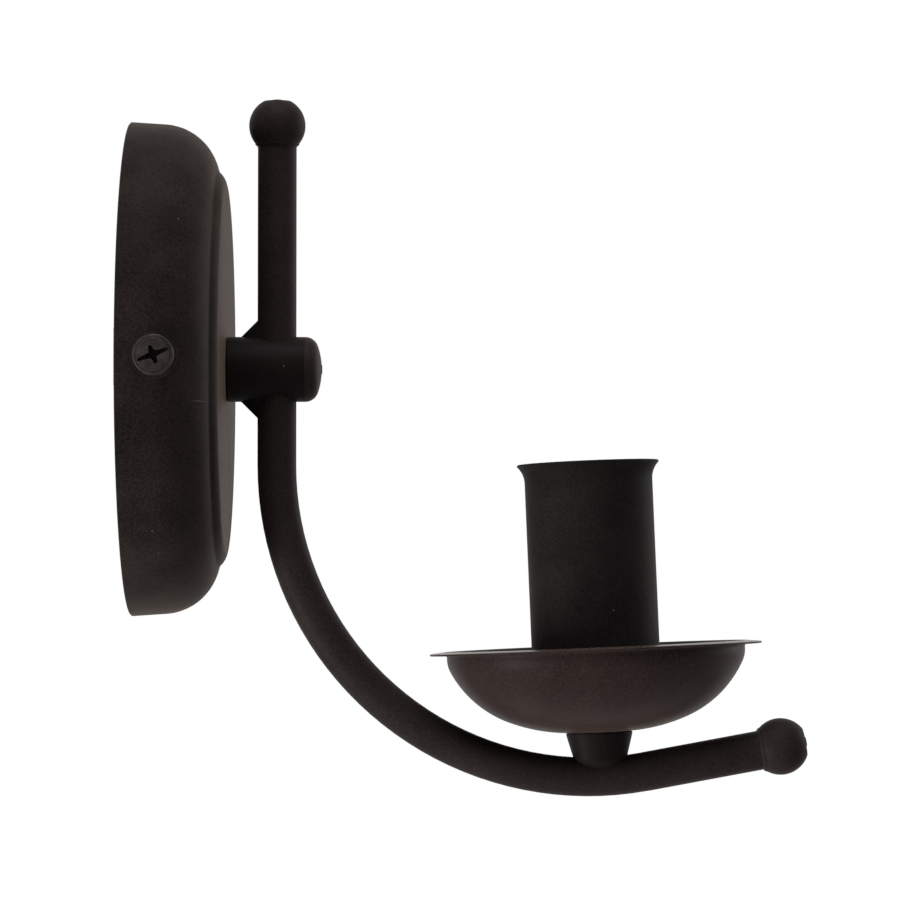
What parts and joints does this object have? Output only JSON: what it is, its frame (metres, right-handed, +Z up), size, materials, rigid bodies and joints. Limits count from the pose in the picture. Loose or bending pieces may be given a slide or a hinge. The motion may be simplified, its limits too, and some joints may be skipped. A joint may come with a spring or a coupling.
{
  "type": "wall sconce",
  "caption": "Wall light with a round stepped back pan, a barrel boss, a bent tube arm with ball ends, a round dish and a tall flared sleeve round its lampholder.",
  "frame": {"origin": "on the wall, at the middle of the wall strap's back face and on the back pan's axis", "axes": "+X out of the wall, +Z up, +Y away from the picture's camera"},
  "size_m": [0.1742, 0.1326, 0.1794],
  "materials": {
    "bronze_powder_coat": "satin, fine sandy texture",
    "zinc_plated_steel": "bright zinc",
    "green_screw_finish": "green dyed plating",
    "white_nylon": "moulded",
    "black_phenolic": "moulded",
    "brass_plated_shell": "bright",
    "contact_brass": "bright"
  },
  "bodies": {
    "fixture": {"wall_strap": "zinc_plated_steel", "ground_screw": "green_screw_finish", "back_pan": "bronze_powder_coat", "boss_barrel": "bronze_powder_coat", "boss_cap": "bronze_powder_coat", "boss_nipple": "zinc_plated_steel", "boss_lock_washer": "zinc_plated_steel", "boss_hex_nut": "zinc_plated_steel", "nipple_bushing": "white_nylon", "arm_tube": "bronze_powder_coat", "top_ball": "bronze_powder_coat", "end_ball": "bronze_powder_coat", "cup_saddle": "bronze_powder_coat", "cup_nipple": "zinc_plated_steel", "dish": "bronze_powder_coat", "cup_washer": "zinc_plated_steel", "cup_nut": "zinc_plated_steel", "holder_leg": "zinc_plated_steel", "leg_screws": "zinc_plated_steel", "socket_body": "black_phenolic", "screw_shell": "brass_plated_shell", "contact_rivets": "contact_brass", "hot_strip": "contact_brass", "neutral_strip": "contact_brass", "hot_screw": "contact_brass", "neutral_screw": "zinc_plated_steel"},
    "near_washer": {"near_screw_washer": "bronze_powder_coat"},
    "near_screw": {"near_side_screw": "bronze_powder_coat"},
    "far_washer": {"far_screw_washer": "bronze_powder_coat"},
    "far_screw": {"far_side_screw": "bronze_powder_coat"},
    "contact": {"contact_tongue": "contact_brass"},
    "sleeve": {"flared_sleeve": "bronze_powder_coat"}
  },
  "joints": [
    {"name": "near_screw_travel", "type": "slide", "parent": "fixture", "child": "near_washer", "axis": [0, -1, 0], "range_m": [0, 0.00397]},
    {"name": "near_screw_turn", "type": "hinge", "parent": "near_washer", "child": "near_screw", "pos_m": [0.0103, -0.0645, 0], "axis": [0, -1, 0], "range_deg": [0, 1800]},
    {"name": "far_screw_travel", "type": "slide", "parent": "fixture", "child": "far_washer", "axis": [0, 1, 0], "range_m": [0, 0.00397]},
    {"name": "far_screw_turn", "type": "hinge", "parent": "far_washer", "child": "far_screw", "pos_m": [0.0103, 0.0645, 0], "axis": [0, 1, 0], "range_deg": [0, 1800]},
    {"name": "contact_press", "type": "hinge", "parent": "fixture", "child": "contact", "pos_m": [0.11454, 0, -0.05332], "axis": [0, 1, 0], "range_deg": [0, 10], "stiffness_Nm_per_rad": 0.2},
    {"name": "sleeve_lift", "type": "slide", "parent": "fixture", "child": "sleeve", "axis": [-0.0419, 0, 0.9991], "range_m": [0, 0.065]}
  ],
  "couplings": [
    {"joint": "near_screw_turn", "follows": "near_screw_travel", "rad_per_m": 7915.8},
    {"joint": "far_screw_turn", "follows": "far_screw_travel", "rad_per_m": 7915.8}
  ]
}
